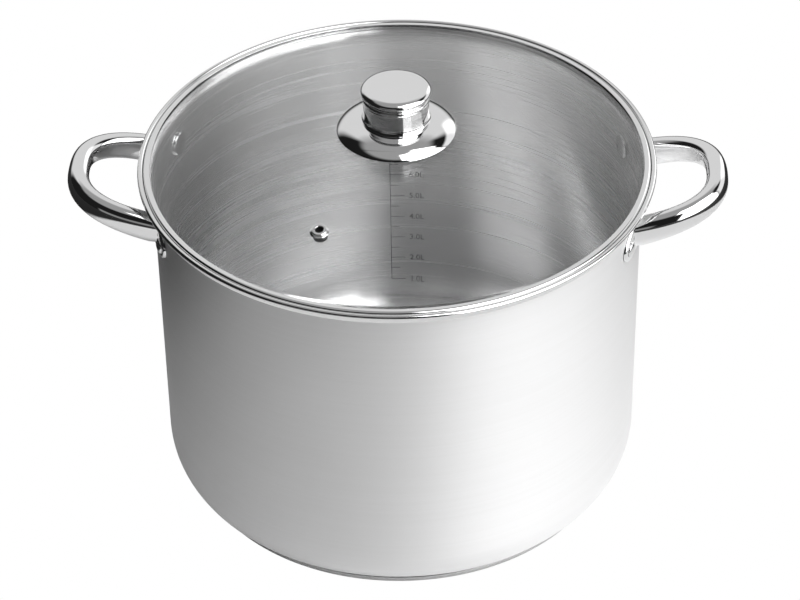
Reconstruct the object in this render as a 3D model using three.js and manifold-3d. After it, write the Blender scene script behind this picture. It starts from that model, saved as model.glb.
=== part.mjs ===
// Lidded steel stock pot for water bath canning, with a low jar rack on its floor.
// Units are millimetres. +Z is up, the base stands on z = 0, and the handles lie along the X axis.
import * as THREE from 'three';
import { mergeVertices } from 'three/addons/utils/BufferGeometryUtils.js';
import Module from 'manifold-3d';

const wasm = await Module();
wasm.setup();

// ---- Driving dimensions ----
const GAP = 0.3;                    // clearance between neighbouring pieces
const ROUND = 48;                   // facets round the pot and the lid
const SMALL_ROUND = 24;             // facets round the knob

const POT_INNER_R = 140;
const POT_WALL = 0.8;
const POT_OUTER_R = POT_INNER_R + POT_WALL;
const POT_FLOOR_UNDERSIDE = 3.0;
const POT_CORNER_WIDTH = 21;        // the corner is a quarter ellipse, taller than it is wide
const POT_CORNER_HEIGHT = 27;
const RIM_TOP = 212.5;
const RIM_OUTER_R = 148.9;
const FLARE_R = 5;                  // radius of the outward flare under the lid seat
const LIP_R = 1.15;                 // radius of the curled lip, to the middle of the sheet

const BASE_CAP_R = 127.5;
const BASE_CAP_HEIGHT = 3.3;
const BASE_CAP_SHEET = 0.6;

const HANDLE_REACH = 183.8;         // from the pot's axis to the middle of the grip
const HANDLE_ROOT = 134;            // where the loop's middle line starts, inside the wall
const HANDLE_HALF_SPREAD = 38;
const HANDLE_SQUARENESS = 2.55;     // superellipse exponent of the loop seen from above
const HANDLE_Z = 190.2;             // middle of the tube at the wall
const HANDLE_RISE = THREE.MathUtils.degToRad(16);
const TUBE_WIDTH = 12;
const TUBE_HEIGHT_GRIP = 13.8;
const TUBE_HEIGHT_ROOT = 17.6;
const TUBE_WALL = 1.2;

const BRACKET_SHEET = 1.6;
const BRACKET_TUBE_END_R = 11.5;    // rounded end of the bracket behind the tube
const BRACKET_LOBE_R = 7;           // rounded end round the rivet
const RIVET_SPREAD = 49.5;          // from the handle's middle plane to a rivet, along Y
const RIVET_Z = 185.5;
const RIVET_SHANK_R = 2.3;
const RIVET_INNER_HEAD_R = 7;
const RIVET_OUTER_HEAD_R = 4.5;

const GLASS_THICKNESS = 4;
const GLASS_EDGE_R = 144.6;
const GLASS_DOME_EDGE_R = 141.2;    // the dome turns flat here, inside the band
const GLASS_RISE = 21.4;
const GLASS_BORE_R = 5;
const BAND_SHEET = 0.5;
const BAND_OUTER_R = 145.6;
const BAND_INNER_R = 142.1;
const BAND_BOTTOM = RIM_TOP - 5.4;

const VENT_RADIUS_ON_LID = 95.7;
const VENT_AZIMUTH = THREE.MathUtils.degToRad(-114.3);
const VENT_COLLAR_R = 5.5;
const VENT_LIP_R = 4.4;
const VENT_TUBE_R = 2.9;
const VENT_BORE_R = 2.4;
const VENT_FOOT_R = 4;
const VENT_COLLAR_HEIGHT = 2.2;

const SKIRT_SHEET = 0.8;
const SKIRT_RISE = 6.4;             // middle of the skirt's sheet at its flat centre, above the glass
const SKIRT_FLAT_R = 16;            // the skirt curves down outside this radius
const SKIRT_CURVE_WIDTH = 20;
const SKIRT_CURVE_HEIGHT = 12;
const NECK_R = 18.4;
const NECK_SHEET = 0.7;
const NECK_HEIGHT = 15.7;
const INSERT_R = 8.6;
const INSERT_FOOT_R = 12;
const INSERT_HEAD_R = 13;
const CAP_R = 20.1;
const CAP_SHEET = 0.8;
const CAP_HEIGHT = 5;
const WASHER_R = 10;
const SCREW_R = 2.2;
const SCREW_HEAD_R = 5.4;

const RACK_R = 109;
const RACK_TOP = 13;
const RACK_SHEET = 1;
const RACK_HOLE_R = 7;

// ---- Finishes ----
const steel = (roughness, shade) => new THREE.MeshStandardMaterial({
  color: new THREE.Color(shade, shade, shade),
  roughness,
  metalness: 1,
});
const satinSteel = steel(0.38, 0.72);
const polishedSteel = steel(0.1, 0.8);
const plainSteel = steel(0.3, 0.66);
const aluminium = new THREE.MeshStandardMaterial({ color: 0xb9bbbd, roughness: 0.5, metalness: 1 });
const silicone = new THREE.MeshStandardMaterial({ color: 0x1d1d1f, roughness: 0.7, metalness: 0 });
const clearGlass = new THREE.MeshStandardMaterial({
  color: 0xeef3f2,
  roughness: 0.04,
  metalness: 0,
  transparent: true,
  opacity: 0.3,
});

const canner = new THREE.Group();

// ---- Solids ----
// Turns a closed geometry into a solid that can be cut and joined.
function solid(geometry) {
  const bare = geometry.clone();
  bare.deleteAttribute('normal');
  bare.deleteAttribute('uv');
  const merged = mergeVertices(bare, 1e-4);
  const index = merged.index.array;
  const corners = [];
  for (let i = 0; i < index.length; i += 3) {
    const [a, b, c] = [index[i], index[i + 1], index[i + 2]];
    if (a !== b && b !== c && c !== a) corners.push(a, b, c);
  }
  return new wasm.Manifold(new wasm.Mesh({
    numProp: 3,
    vertProperties: merged.attributes.position.array,
    triVerts: new Uint32Array(corners),
  }));
}

// Names a solid and puts it in the group.
function addPiece(name, body, material, parent = canner) {
  const { vertProperties, triVerts } = body.getMesh();
  const geometry = new THREE.BufferGeometry();
  geometry.setAttribute('position', new THREE.BufferAttribute(vertProperties, 3));
  geometry.setIndex(new THREE.BufferAttribute(triVerts, 1));
  geometry.computeVertexNormals();
  const mesh = new THREE.Mesh(geometry, material);
  mesh.name = name;
  parent.add(mesh);
}

// Points [r, z] on an elliptical arc, angles in degrees.
function arc(centreR, centreZ, radiusR, radiusZ, from, to, steps) {
  return Array.from({ length: steps + 1 }, (_, i) => {
    const angle = THREE.MathUtils.degToRad(from + (to - from) * i / steps);
    return [centreR + radiusR * Math.cos(angle), centreZ + radiusZ * Math.sin(angle)];
  });
}

// Outline of a sheet of even thickness that follows a middle line of [r, z] points.
function sheetOutline(line, thickness) {
  const points = line.map(([r, z]) => new THREE.Vector2(r, z));
  const normals = points.map((point, i) => {
    const before = points[Math.max(i - 1, 0)];
    const after = points[Math.min(i + 1, points.length - 1)];
    const along = after.clone().sub(before).normalize();
    return new THREE.Vector2(-along.y, along.x);
  });
  const offset = (side) => points.map((point, i) => {
    const moved = point.clone().addScaledVector(normals[i], side * thickness / 2);
    return [Math.abs(point.x) < 1e-9 ? 0 : moved.x, moved.y];
  });
  return [...offset(1), ...offset(-1).reverse()];
}

// Solid of revolution about Z from a closed outline of [r, z] points.
function turned(outline, facets = ROUND) {
  let area = 0;
  outline.forEach(([r, z], i) => {
    const [nextR, nextZ] = outline[(i + 1) % outline.length];
    area += r * nextZ - nextR * z;
  });
  const loop = area > 0 ? [...outline] : [...outline].reverse();
  const meetsAxis = loop.some(([r]) => r === 0);
  if (meetsAxis) {
    while (loop[0][0] !== 0 || loop[loop.length - 1][0] !== 0) loop.push(loop.shift());
  } else {
    loop.push(loop[0]);
  }
  const geometry = new THREE.LatheGeometry(loop.map(([r, z]) => new THREE.Vector2(r, z)), facets);
  return solid(geometry.rotateX(Math.PI / 2));
}

const rectangle = (r0, r1, z0, z1) => [[r0, z0], [r1, z0], [r1, z1], [r0, z1]];
const disc = (radius, z0, z1, facets) => turned(rectangle(0, radius, z0, z1), facets);
const ring = (r0, r1, z0, z1, facets) => turned(rectangle(r0, r1, z0, z1), facets);

// Moves a solid by a matrix built from a position and a direction for its Z axis.
function aimed(body, position, direction) {
  const turn = new THREE.Quaternion().setFromUnitVectors(new THREE.Vector3(0, 0, 1), direction);
  const matrix = new THREE.Matrix4().compose(position, turn, new THREE.Vector3(1, 1, 1));
  return body.transform(matrix.elements);
}

// ---- Pot ----
const potMiddleR = POT_INNER_R + POT_WALL / 2;
const flareZ = RIM_TOP - 11.2;
const lipMiddleR = RIM_OUTER_R - POT_WALL / 2 - LIP_R;
const lipZ = RIM_TOP - POT_WALL / 2 - LIP_R;
const cornerZ = POT_FLOOR_UNDERSIDE + POT_WALL / 2 + POT_CORNER_HEIGHT;
const potLine = [
  [0, POT_FLOOR_UNDERSIDE + POT_WALL / 2],
  ...arc(potMiddleR - POT_CORNER_WIDTH, cornerZ, POT_CORNER_WIDTH, POT_CORNER_HEIGHT, -90, 0, 5),
  ...arc(potMiddleR + FLARE_R, flareZ, FLARE_R, FLARE_R, 180, 100, 3),
  [lipMiddleR - LIP_R, flareZ + FLARE_R + 0.9],
  ...arc(lipMiddleR, lipZ, LIP_R, LIP_R, 180, 0, 4),
];

// Where the rivets pass through the wall, one entry per handle end.
const rivetAzimuth = Math.asin(RIVET_SPREAD / POT_OUTER_R);
const handleEnds = [];
for (const [side, mirror] of [['left', -1], ['right', 1]]) {
  for (const [end, spread] of [['front', -1], ['rear', 1]]) {
    const outward = new THREE.Vector3(mirror * Math.cos(rivetAzimuth), spread * Math.sin(rivetAzimuth), 0);
    handleEnds.push({ name: `${side}_${end}`, mirror, spread, outward });
  }
}
const rivetHole = (outward) => aimed(
  disc(RIVET_SHANK_R + GAP, POT_INNER_R - 12, POT_INNER_R + 12, 12),
  new THREE.Vector3(0, 0, RIVET_Z),
  outward,
);

let potBody = turned(sheetOutline(potLine, POT_WALL));
for (const { outward } of handleEnds) potBody = potBody.subtract(rivetHole(outward));
addPiece('pot_body', potBody, satinSteel);

// The base sandwich: an aluminium disc under the floor, closed in by a shallow steel cap.
const capMiddleR = BASE_CAP_R - BASE_CAP_SHEET / 2;
const baseCapLine = [
  [0, BASE_CAP_SHEET / 2],
  ...arc(capMiddleR - 1, BASE_CAP_SHEET / 2 + 1, 1, 1, -90, 0, 2),
  [capMiddleR, BASE_CAP_HEIGHT],
];
addPiece('base_cap', turned(sheetOutline(baseCapLine, BASE_CAP_SHEET)), polishedSteel);
addPiece(
  'base_core',
  disc(BASE_CAP_R - BASE_CAP_SHEET - 2, BASE_CAP_SHEET + GAP, POT_FLOOR_UNDERSIDE - GAP),
  aluminium,
);

// ---- Handles ----
const bracketInnerR = POT_OUTER_R + GAP;
const bracketOuterR = bracketInnerR + BRACKET_SHEET;
const loopUp = new THREE.Vector3(-Math.sin(HANDLE_RISE), 0, Math.cos(HANDLE_RISE));

// Middle line of the right handle, from its front root (u = 0) to its rear root (u = 1).
function loopPoint(u) {
  const angle = (u - 0.5) * Math.PI;
  const power = 2 / HANDLE_SQUARENESS;
  const out = Math.max(Math.cos(angle), 0) ** power;
  const across = Math.sign(angle) * Math.abs(Math.sin(angle)) ** power;
  const x = HANDLE_ROOT + (HANDLE_REACH - HANDLE_ROOT) * out;
  const z = HANDLE_Z + Math.tan(HANDLE_RISE) * (x - POT_OUTER_R);
  return new THREE.Vector3(x, HANDLE_HALF_SPREAD * across, z);
}

// An oval bar along the loop, taller at its roots; inset shrinks its section.
function loopBar(inset) {
  const section = new THREE.Shape();
  section.absellipse(0, 0, TUBE_WIDTH / 2 - inset, TUBE_HEIGHT_GRIP / 2 - inset, 0, Math.PI * 2);
  const geometry = new THREE.ExtrudeGeometry(section, {
    depth: 1,
    steps: 20,
    curveSegments: 6,
    bevelEnabled: false,
  });
  const position = geometry.attributes.position;
  const rootGrowth = (TUBE_HEIGHT_ROOT - TUBE_HEIGHT_GRIP) / TUBE_HEIGHT_GRIP;
  for (let i = 0; i < position.count; i += 1) {
    const u = position.getZ(i);
    const ahead = loopPoint(Math.min(u + 1e-3, 1));
    const behind = loopPoint(Math.max(u - 1e-3, 0));
    const along = ahead.sub(behind).normalize();
    const across = new THREE.Vector3().crossVectors(loopUp, along).normalize();
    const growth = 1 + rootGrowth * (2 * u - 1) ** 2;
    const placed = loopPoint(u)
      .addScaledVector(across, position.getX(i))
      .addScaledVector(loopUp, position.getY(i) * growth);
    position.setXYZ(i, placed.x, placed.y, placed.z);
  }
  return solid(geometry);
}

// The tube is cut off where it meets its brackets, so both of its ends are open.
const tubeEndCut = disc(bracketOuterR + GAP, 150, 240, ROUND);
const rightHandle = loopBar(0).subtract(loopBar(TUBE_WALL)).subtract(tubeEndCut);
addPiece('handle_right', rightHandle, polishedSteel);
addPiece('handle_left', rightHandle.mirror([1, 0, 0]), polishedSteel);

// Plate outline: two circles of different size joined by their outer tangents, in the Y-Z plane.
function bracketShape() {
  const tubeEnd = new THREE.Vector2(HANDLE_HALF_SPREAD, HANDLE_Z - 0.5);
  const lobe = new THREE.Vector2(RIVET_SPREAD + 0.3, RIVET_Z - 0.2);
  const span = lobe.clone().sub(tubeEnd);
  const lean = span.angle();
  const tangent = Math.acos((BRACKET_TUBE_END_R - BRACKET_LOBE_R) / span.length());
  const shape = new THREE.Shape();
  shape.absarc(tubeEnd.x, tubeEnd.y, BRACKET_TUBE_END_R, lean + tangent, lean - tangent + 2 * Math.PI);
  shape.absarc(lobe.x, lobe.y, BRACKET_LOBE_R, lean - tangent, lean + tangent);
  return shape;
}

const bracketBlock = solid(
  new THREE.ExtrudeGeometry(bracketShape(), { depth: 60, curveSegments: 9, bevelEnabled: false })
    .applyMatrix4(new THREE.Matrix4().set(0, 0, 1, 100, 1, 0, 0, 0, 0, 1, 0, 0, 0, 0, 0, 1)),
);
const bracketShell = ring(bracketInnerR, bracketOuterR, 150, 230);
const rearRightBracket = bracketBlock.intersect(bracketShell);

// A rivet along Z: wide head inside the pot, shank through the wall, small head on the bracket.
const innerSeat = Math.sqrt(POT_INNER_R ** 2 - RIVET_INNER_HEAD_R ** 2) - GAP - 0.3;
const outerSeat = bracketOuterR + GAP;
const rivet = turned([
  [0, innerSeat - 1.5],
  [RIVET_INNER_HEAD_R * 0.6, innerSeat - 1.3],
  [RIVET_INNER_HEAD_R, innerSeat - 0.5],
  [RIVET_INNER_HEAD_R, innerSeat],
  [RIVET_SHANK_R, innerSeat],
  [RIVET_SHANK_R, outerSeat],
  [RIVET_OUTER_HEAD_R, outerSeat],
  [RIVET_OUTER_HEAD_R * 0.7, outerSeat + 1.2],
  [0, outerSeat + 1.6],
], 14);

for (const { name, mirror, spread, outward } of handleEnds) {
  let bracket = rearRightBracket;
  if (mirror < 0) bracket = bracket.mirror([1, 0, 0]);
  if (spread < 0) bracket = bracket.mirror([0, 1, 0]);
  addPiece(`bracket_${name}`, bracket.subtract(rivetHole(outward)), polishedSteel);
  addPiece(`rivet_${name}`, aimed(rivet, new THREE.Vector3(0, 0, RIVET_Z), outward), plainSteel);
}

// ---- Lid ----
const lid = new THREE.Group();
canner.add(lid);

const glassEdgeZ = BAND_BOTTOM + BAND_SHEET + GAP + GLASS_THICKNESS / 2;
const glassTop = glassEdgeZ + GLASS_RISE + GLASS_THICKNESS / 2;
const domeR = (GLASS_DOME_EDGE_R ** 2 + GLASS_RISE ** 2) / (2 * GLASS_RISE);
const domeCentreZ = glassEdgeZ + GLASS_RISE - domeR;
const domeAngle = (r) => THREE.MathUtils.radToDeg(Math.acos(r / domeR));
const glassLine = [
  ...arc(0, domeCentreZ, domeR, domeR, domeAngle(GLASS_BORE_R), domeAngle(GLASS_DOME_EDGE_R), 6),
  [GLASS_EDGE_R, glassEdgeZ],
];

// The vent passes through the dome square to its surface.
const ventLean = Math.asin(VENT_RADIUS_ON_LID / domeR);
const ventAxis = new THREE.Vector3(
  Math.sin(ventLean) * Math.cos(VENT_AZIMUTH),
  Math.sin(ventLean) * Math.sin(VENT_AZIMUTH),
  Math.cos(ventLean),
);
const ventSeat = ventAxis.clone().multiplyScalar(domeR + GLASS_THICKNESS / 2).setZ(
  domeCentreZ + (domeR + GLASS_THICKNESS / 2) * Math.cos(ventLean),
);
const ventHole = aimed(disc(VENT_TUBE_R + GAP, -12, 12, 16), ventSeat, ventAxis);
const glass = turned(sheetOutline(glassLine, GLASS_THICKNESS)).subtract(ventHole);
addPiece('lid_glass', glass, clearGlass, lid);

// Steel band folded over the edge of the glass.
const bandTop = BAND_BOTTOM + GLASS_THICKNESS + 2 * (GAP + BAND_SHEET);
const bandMiddleR = BAND_OUTER_R - BAND_SHEET / 2;
const bandLine = [
  [BAND_INNER_R, BAND_BOTTOM + BAND_SHEET / 2],
  ...arc(bandMiddleR - 0.5, BAND_BOTTOM + BAND_SHEET / 2 + 0.5, 0.5, 0.5, -90, 0, 1),
  ...arc(bandMiddleR - 0.5, bandTop - BAND_SHEET / 2 - 0.5, 0.5, 0.5, 0, 90, 1),
  [BAND_INNER_R, bandTop - BAND_SHEET / 2],
];
addPiece('lid_band', turned(sheetOutline(bandLine, BAND_SHEET)), polishedSteel, lid);

// Vent eyelet: a rounded collar on the glass, its tube, and the flared foot that holds the washer.
const ventFoot = -GLASS_THICKNESS - GAP - 1 - GAP;
const ventEyelet = turned([
  [VENT_BORE_R, ventFoot - 0.8],
  [VENT_FOOT_R, ventFoot - 0.8],
  [VENT_FOOT_R, ventFoot],
  [VENT_TUBE_R, ventFoot],
  [VENT_TUBE_R, GAP],
  [VENT_COLLAR_R - 0.3, GAP],
  [VENT_COLLAR_R, GAP + 0.4],
  [VENT_COLLAR_R - 0.3, GAP + 0.8],
  [VENT_LIP_R, GAP + 1.1],
  [VENT_LIP_R, VENT_COLLAR_HEIGHT - 0.5],
  [VENT_LIP_R - 0.5, VENT_COLLAR_HEIGHT],
  [VENT_BORE_R + 0.4, VENT_COLLAR_HEIGHT],
  [VENT_BORE_R, VENT_COLLAR_HEIGHT - 0.5],
], 16);
const ventWasher = ring(VENT_TUBE_R + GAP, VENT_FOOT_R, ventFoot + GAP, ventFoot + GAP + 1, 16);
addPiece('vent_eyelet', aimed(ventEyelet, ventSeat, ventAxis), polishedSteel, lid);
addPiece('vent_washer', aimed(ventWasher, ventSeat, ventAxis), silicone, lid);

// Knob, from the glass up: gasket, skirt, neck and cap, held by an insert and a screw.
const boltHoleR = SCREW_R + 0.5;
const gasketTop = glassTop + GAP + 0.6;
addPiece('knob_gasket_upper', ring(boltHoleR, 14, glassTop + GAP, gasketTop, SMALL_ROUND), silicone, lid);

const skirtZ = glassTop + SKIRT_RISE;
const skirtLine = [
  [INSERT_R + GAP, skirtZ],
  ...arc(SKIRT_FLAT_R, skirtZ - SKIRT_CURVE_HEIGHT, SKIRT_CURVE_WIDTH, SKIRT_CURVE_HEIGHT, 90, 27, 6),
];
addPiece('knob_skirt', turned(sheetOutline(skirtLine, SKIRT_SHEET), 36), polishedSteel, lid);

const neckZ = skirtZ + SKIRT_SHEET / 2 + GAP;
const neckTop = neckZ + NECK_HEIGHT;
const neckLine = [
  [NECK_R + 0.9, neckZ],
  [NECK_R + 0.6, neckZ + 1.5],
  [NECK_R + 0.1, neckZ + 4],
  [NECK_R, neckTop - 3.2],
  [NECK_R + 0.5, neckTop - 1.8],
  [NECK_R - 0.5, neckTop - NECK_SHEET / 2],
  [INSERT_R + 0.9, neckTop - NECK_SHEET / 2],
];
addPiece('knob_neck', turned(sheetOutline(neckLine, NECK_SHEET), SMALL_ROUND), polishedSteel, lid);

const capZ = neckTop + GAP;
const capLine = [
  [NECK_R - 0.6, capZ + CAP_SHEET / 2],
  [CAP_R - CAP_SHEET / 2 - 0.5, capZ + 0.9],
  [CAP_R - CAP_SHEET / 2, capZ + 1.9],
  [CAP_R - CAP_SHEET / 2 - 0.8, capZ + 3.2],
  [CAP_R - CAP_SHEET / 2 - 2.3, capZ + 4.2],
  [CAP_R - CAP_SHEET / 2 - 4.2, capZ + CAP_HEIGHT - CAP_SHEET / 2],
  [0, capZ + CAP_HEIGHT - CAP_SHEET / 2],
];
addPiece('knob_cap', turned(sheetOutline(capLine, CAP_SHEET), SMALL_ROUND), polishedSteel, lid);

// Threaded insert: its foot carries the skirt, its head clamps the neck's top, and its blind hole
// takes the screw.
const insertFoot = gasketTop + GAP;
const skirtSeat = skirtZ - SKIRT_SHEET / 2 - GAP;
const insertHead = neckTop + GAP;
const insertBoreTop = insertFoot + 17;
const insert = turned([
  [boltHoleR, insertFoot],
  [INSERT_FOOT_R, insertFoot],
  [INSERT_FOOT_R, skirtSeat],
  [INSERT_R, skirtSeat],
  [INSERT_R, insertHead],
  [INSERT_HEAD_R, insertHead],
  [INSERT_HEAD_R, insertHead + 2],
  [0, insertHead + 2],
  [0, insertBoreTop],
  [boltHoleR, insertBoreTop],
], SMALL_ROUND);
addPiece('knob_insert', insert, aluminium, lid);

const glassUnderside = glassTop - GLASS_THICKNESS;
const lowerGasketZ = glassUnderside - GAP - 1.2;
const washerZ = lowerGasketZ - GAP - 0.8;
const screwHeadZ = washerZ - GAP;
addPiece('knob_gasket_lower', ring(boltHoleR, WASHER_R, lowerGasketZ, lowerGasketZ + 1, SMALL_ROUND), silicone, lid);
addPiece('knob_washer', ring(boltHoleR, WASHER_R - 1, washerZ, washerZ + 0.8, SMALL_ROUND), plainSteel, lid);

// Pan head screw with a cross recess, entering from below.
const screwBlank = turned([
  [0, screwHeadZ - 3],
  [SCREW_HEAD_R * 0.6, screwHeadZ - 2.8],
  [SCREW_HEAD_R, screwHeadZ - 1.6],
  [SCREW_HEAD_R, screwHeadZ],
  [SCREW_R, screwHeadZ],
  [SCREW_R, insertBoreTop - 2],
  [0, insertBoreTop - 2],
], 18);
const recessBar = (x, y) => solid(new THREE.BoxGeometry(x, y, 3.4).translate(0, 0, screwHeadZ - 3));
const screw = screwBlank.subtract(recessBar(5.4, 1.2)).subtract(recessBar(1.2, 5.4));
addPiece('knob_screw', screw, plainSteel, lid);

// ---- Jar rack ----
// A perforated plate whose rim is turned down to stand on the pot's floor.
const rackFoot = POT_FLOOR_UNDERSIDE + POT_WALL + GAP;
const rackPlate = turned([
  [0, RACK_TOP - RACK_SHEET],
  [RACK_R - RACK_SHEET, RACK_TOP - RACK_SHEET],
  [RACK_R - RACK_SHEET, rackFoot],
  [RACK_R, rackFoot],
  [RACK_R, RACK_TOP - 1],
  [RACK_R - 1, RACK_TOP],
  [0, RACK_TOP],
]);
let rack = rackPlate;
for (const [radius, count] of [[34, 6], [62, 10], [90, 14]]) {
  for (let i = 0; i < count; i += 1) {
    const angle = (i + 0.5) * 2 * Math.PI / count;
    const centre = new THREE.Vector3(radius * Math.cos(angle), radius * Math.sin(angle), 0);
    const hole = disc(RACK_HOLE_R, RACK_TOP - 4, RACK_TOP + 4, 8);
    rack = rack.subtract(hole.translate(centre.toArray()));
  }
}
addPiece('jar_rack', rack, plainSteel);

export default canner;
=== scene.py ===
import math

import bmesh
import bpy
from mathutils import Matrix, Vector


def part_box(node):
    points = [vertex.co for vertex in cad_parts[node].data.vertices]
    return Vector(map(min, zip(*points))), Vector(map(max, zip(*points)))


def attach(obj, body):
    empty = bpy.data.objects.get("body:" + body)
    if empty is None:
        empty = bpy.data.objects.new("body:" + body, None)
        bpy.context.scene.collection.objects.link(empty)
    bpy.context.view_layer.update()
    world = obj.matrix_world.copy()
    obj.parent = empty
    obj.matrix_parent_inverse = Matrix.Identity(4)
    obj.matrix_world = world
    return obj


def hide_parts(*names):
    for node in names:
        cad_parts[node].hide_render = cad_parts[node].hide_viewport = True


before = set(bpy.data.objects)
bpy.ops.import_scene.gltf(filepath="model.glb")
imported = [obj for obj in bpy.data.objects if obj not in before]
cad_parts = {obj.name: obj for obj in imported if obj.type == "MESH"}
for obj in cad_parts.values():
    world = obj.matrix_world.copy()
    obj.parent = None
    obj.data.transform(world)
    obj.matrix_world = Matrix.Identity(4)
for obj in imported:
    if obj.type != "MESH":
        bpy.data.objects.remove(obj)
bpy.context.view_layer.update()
scene = bpy.context.scene

MM = 0.001


# ---------------------------------------------------------------- node helpers
def new_material(name):
    material = bpy.data.materials.new(name)
    material.use_nodes = True
    tree = material.node_tree
    return material, tree, tree.nodes["Principled BSDF"]


def object_coordinates(tree):
    return tree.nodes.new("ShaderNodeTexCoord").outputs["Object"]


def math_node(tree, operation, *values):
    """The output of a Math node whose inputs are numbers or sockets."""
    node = tree.nodes.new("ShaderNodeMath")
    node.operation = operation
    for socket, value in zip(node.inputs, values):
        if isinstance(value, (int, float)):
            socket.default_value = value
        else:
            tree.links.new(value, socket)
    return node.outputs[0]


def smooth_step(tree, value, start, end, low, high):
    """A smooth ramp from low, where value is start, to high, where it is end."""
    node = tree.nodes.new("ShaderNodeMapRange")
    node.interpolation_type = "SMOOTHSTEP"
    for name, number in (("From Min", start), ("From Max", end), ("To Min", low), ("To Max", high)):
        node.inputs[name].default_value = number
    tree.links.new(value, node.inputs["Value"])
    return node.outputs["Result"]


def choose_shader(tree, factor, first, second, target):
    """Feed target with the first shader where factor is 0, and with the second where it is 1."""
    mix = tree.nodes.new("ShaderNodeMixShader")
    for source, socket in zip((factor, first, second), mix.inputs):
        tree.links.new(source, socket)
    tree.links.new(mix.outputs[0], target)


# ---------------------------------------------------------------- camera and studio
# place in metres, turns in degrees, lens and sensor in mm, fitted to the pot's outline in the photograph
CAMERA_PLACE = (0.0569, -1.3938, 1.1852)
CAMERA_YAW, CAMERA_TILT, CAMERA_ROLL = 2.32, 52.36, -0.94
CAMERA_LENS, CAMERA_SENSOR = 133.2, 36.0
FLOOR_SIZE = 8
TABLE_CENTRE = (0.16, -0.3, 0)
TABLE_R, TABLE_EDGE = 0.58, 0.04    # radius of the lit table, and half the width of its soft edge
TABLE_SHADE, ROOM_SHADE = 0.8, 0.02
TABLE_GLOW = 0.03                   # light of its own that the lit table adds
ROOM_GLOW = 0.012                   # radiance of the room between its panels
# soft panels of the studio: azimuth, half width, elevation, half height and soft edge in degrees, radiance
PANELS = (
    (-28, 37, 23, 25, 5, 2.4),
    (-50, 14, 23, 25, 5, 1.4),
    (-30, 46, 62, 14, 6, 3.0),
    (38, 26, 14, 18, 8, 0.9),
    (92, 46, 28, 26, 16, 0.74),
    (-112, 24, 4, 6, 6, 0.25),
    (0, 180, 76, 21, 12, 0.34),
)


def make_camera():
    data = bpy.data.cameras.new("camera")
    data.sensor_width = CAMERA_SENSOR
    data.lens = CAMERA_LENS
    camera = bpy.data.objects.new("camera", data)
    scene.collection.objects.link(camera)
    turn = Matrix.Rotation(math.radians(CAMERA_YAW), 4, "Z")
    turn = turn @ Matrix.Rotation(math.radians(CAMERA_TILT), 4, "X")
    turn = turn @ Matrix.Rotation(math.radians(CAMERA_ROLL), 4, "Z")
    camera.matrix_world = Matrix.Translation(CAMERA_PLACE) @ turn
    scene.camera = camera


def seen_directly(tree):
    """1 where the eye looks straight, or through clear glass only; 0 in reflections and lighting."""
    path = tree.nodes.new("ShaderNodeLightPath").outputs
    bounces = math_node(tree, "ADD", path["Glossy Depth"], path["Diffuse Depth"])
    unbounced = math_node(tree, "LESS_THAN", bounces, 0.5)
    looking = math_node(tree, "MAXIMUM", path["Is Camera Ray"], path["Is Transmission Ray"])
    return math_node(tree, "MULTIPLY", unbounced, looking)


def band(tree, angle, centre, half, soft, top):
    """top where an angle in radians is within half degrees of centre, with an edge soft degrees wide."""
    away = math_node(tree, "SUBTRACT", angle, math.radians(centre))
    apart = math_node(tree, "ABSOLUTE", math_node(tree, "WRAP", away, math.pi, -math.pi))
    outside, inside = math.radians(half + soft / 2), math.radians(half - soft / 2)
    return smooth_step(tree, apart, outside, inside, 0.0, top)


def make_world():
    """A white background to the eye; a dark room with soft bright panels in reflections and lighting."""
    world = bpy.data.worlds.new("studio")
    world.use_nodes = True
    scene.world = world
    tree = world.node_tree
    split = tree.nodes.new("ShaderNodeSeparateXYZ")
    tree.links.new(tree.nodes.new("ShaderNodeTexCoord").outputs["Generated"], split.inputs[0])
    azimuth = math_node(tree, "ARCTAN2", split.outputs["Y"], split.outputs["X"])
    elevation = math_node(tree, "ARCSINE", split.outputs["Z"])
    light = 0.0
    for around, half_width, height, half_height, soft, radiance in PANELS:
        across = band(tree, azimuth, around, half_width, soft, radiance)
        upright = band(tree, elevation, height, half_height, soft, 1.0)
        light = math_node(tree, "ADD", light, math_node(tree, "MULTIPLY", across, upright))
    room = tree.nodes["Background"]
    tree.links.new(math_node(tree, "ADD", light, ROOM_GLOW), room.inputs["Color"])
    sweep = tree.nodes.new("ShaderNodeBackground")
    sweep.inputs["Color"].default_value = (1, 1, 1, 1)
    target = tree.nodes["World Output"].inputs[0]
    choose_shader(tree, seen_directly(tree), room.outputs[0], sweep.outputs[0], target)


def make_floor():
    """Plain white to the eye; a pale round table in a dark room in reflections and lighting."""
    bpy.ops.mesh.primitive_plane_add(size=FLOOR_SIZE, location=TABLE_CENTRE)
    floor = bpy.context.object
    floor.name = "studio_floor"
    material, tree, table = new_material("studio_floor")
    table.inputs["Roughness"].default_value = 0.9
    table.inputs["Specular IOR Level"].default_value = 0.1
    distance = tree.nodes.new("ShaderNodeVectorMath")
    distance.operation = "LENGTH"
    tree.links.new(object_coordinates(tree), distance.inputs[0])
    inside, outside = TABLE_R - TABLE_EDGE, TABLE_R + TABLE_EDGE
    shade = smooth_step(tree, distance.outputs["Value"], inside, outside, TABLE_SHADE, ROOM_SHADE)
    tree.links.new(shade, table.inputs["Base Color"])
    tree.links.new(shade, table.inputs["Emission Color"])
    table.inputs["Emission Strength"].default_value = TABLE_GLOW
    sweep = tree.nodes.new("ShaderNodeEmission")
    target = tree.nodes["Material Output"].inputs["Surface"]
    choose_shader(tree, seen_directly(tree), table.outputs[0], sweep.outputs[0], target)
    floor.data.materials.append(material)


make_camera()
make_world()
make_floor()
scene.view_settings.view_transform = "Standard"
scene.view_settings.look = "None"


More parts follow.
